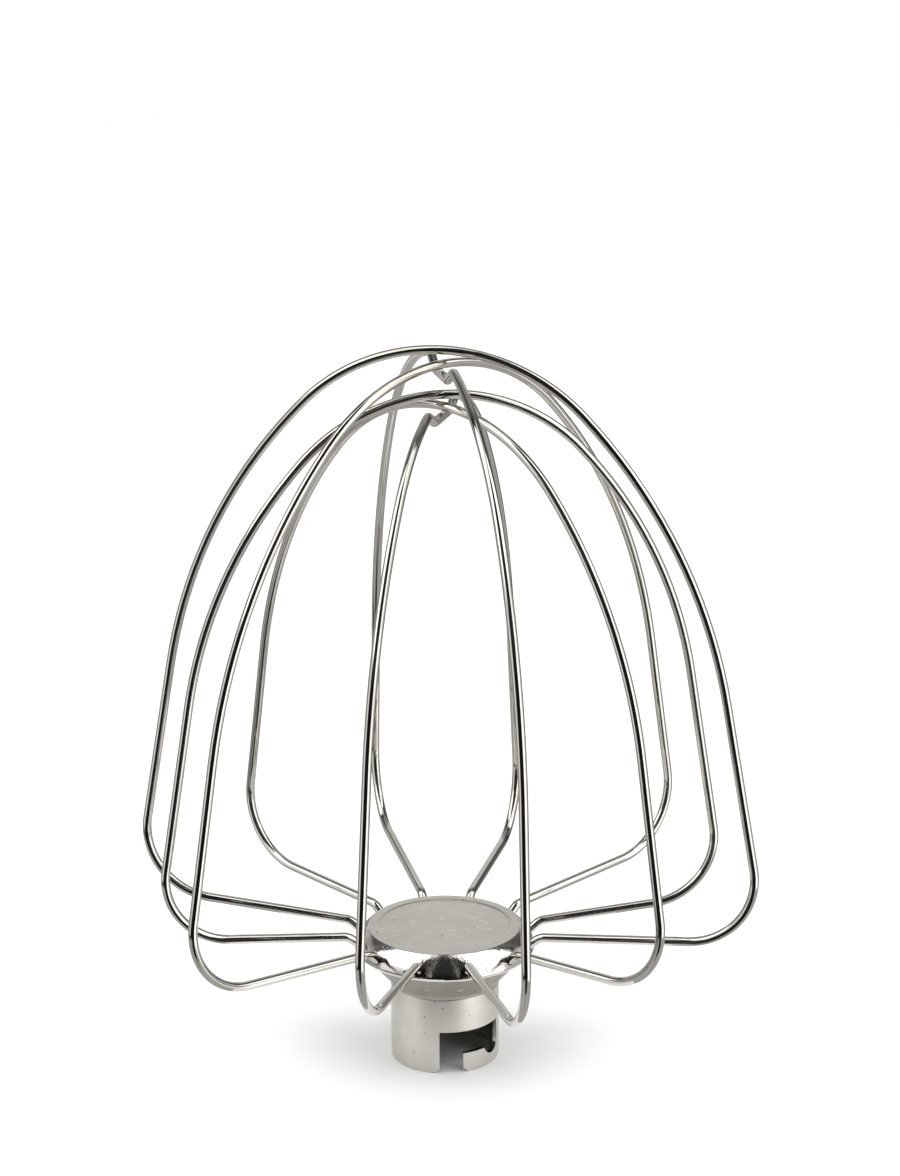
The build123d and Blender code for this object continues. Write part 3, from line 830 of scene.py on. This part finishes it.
class WHIP_OT_stage(bpy.types.Operator):
    """Lays the floor, lights it and places the camera"""

    bl_idname = "whip.stage"
    bl_label = "Stage"

    def execute(self, context):
        scene, stage = context.scene, context.scene.whip_stage
        paper = bpy.data.materials.new("matt_white_sweep")
        paper.use_nodes = True
        tree = paper.node_tree
        tree.nodes.clear()
        surface = add_node(tree, "ShaderNodeBsdfPrincipled",
                           {"Base Color": tuple(stage.floor_colour), "Roughness": 0.9,
                            "Specular IOR Level": 0.1})
        add_node(tree, "ShaderNodeOutputMaterial", {"Surface": surface.outputs["BSDF"]})
        floor_ring("floor_sheet", 0.0, stage.sheet_radius, paper, True)
        floor_ring("floor_beyond", stage.sheet_radius, stage.floor_reach, paper, False)

        lamp = bpy.data.lights.new("overhead_softbox", "AREA")
        lamp.energy = stage.lamp_power
        lamp.size = stage.lamp_size
        lamp_object = bpy.data.objects.new("overhead_softbox", lamp)
        lamp_object.location = (0.0, 0.0, stage.lamp_height)
        lamp_object.visible_glossy = False
        lamp_object.visible_camera = False
        scene.collection.objects.link(lamp_object)
        surroundings(scene)

        camera = bpy.data.cameras.new("whip_camera")
        camera.lens = stage.camera_lens
        camera.sensor_width = 36.0
        camera.clip_start, camera.clip_end = 0.02, 50.0
        camera_object = bpy.data.objects.new("whip_camera", camera)
        position = Vector(stage.camera_position)
        sight = (Vector(stage.camera_aim) - position).to_track_quat("-Z", "Y").to_matrix()
        turned = sight @ Matrix.Rotation(stage.camera_roll, 3, "Z")
        camera_object.matrix_world = Matrix.Translation(position) @ turned.to_4x4()
        scene.collection.objects.link(camera_object)
        scene.camera = camera_object
        scene.view_settings.view_transform = "Standard"
        return {"FINISHED"}


class WHIP_PT_panel(bpy.types.Panel):
    """Sizes, finishes and stage of the wire whip"""

    bl_idname = "WHIP_PT_panel"
    bl_label = "Wire whip"
    bl_space_type = "VIEW_3D"
    bl_region_type = "UI"
    bl_category = "Wire whip"

    def draw(self, context):
        layout, scene = self.layout, context.scene
        for heading, group, operators in (
            ("Wires", scene.whip_wires, (WHIP_OT_tall_loops, WHIP_OT_short_loops)),
            ("Finishes", scene.whip_finishes,
             (WHIP_OT_hub_cap, WHIP_OT_socket_and_collar, WHIP_OT_turned_parts)),
            ("Stage", scene.whip_stage, (WHIP_OT_stage,)),
        ):
            box = layout.box()
            box.label(text=heading)
            for name in type(group).__annotations__:
                box.prop(group, name)
            for operator in operators:
                box.operator(operator.bl_idname)


GROUPS = {
    "whip_wires": WhipWireSizes,
    "whip_finishes": WhipFinishes,
    "whip_stage": WhipStage,
}
CLASSES = (
    *GROUPS.values(),
    WHIP_OT_tall_loops,
    WHIP_OT_short_loops,
    WHIP_OT_hub_cap,
    WHIP_OT_socket_and_collar,
    WHIP_OT_turned_parts,
    WHIP_OT_stage,
    WHIP_PT_panel,
)


def register():
    for made in CLASSES:
        bpy.utils.register_class(made)
    for name, group in GROUPS.items():
        setattr(bpy.types.Scene, name, PointerProperty(type=group))


def unregister():
    for name in GROUPS:
        delattr(bpy.types.Scene, name)
    for made in reversed(CLASSES):
        bpy.utils.unregister_class(made)


def main():
    register()
    bpy.ops.whip.tall_loops()
    bpy.ops.whip.short_loops()
    bpy.ops.whip.hub_cap()
    bpy.ops.whip.socket_and_collar()
    bpy.ops.whip.turned_parts()
    bpy.ops.whip.stage()


if __name__ == "__main__":
    main()
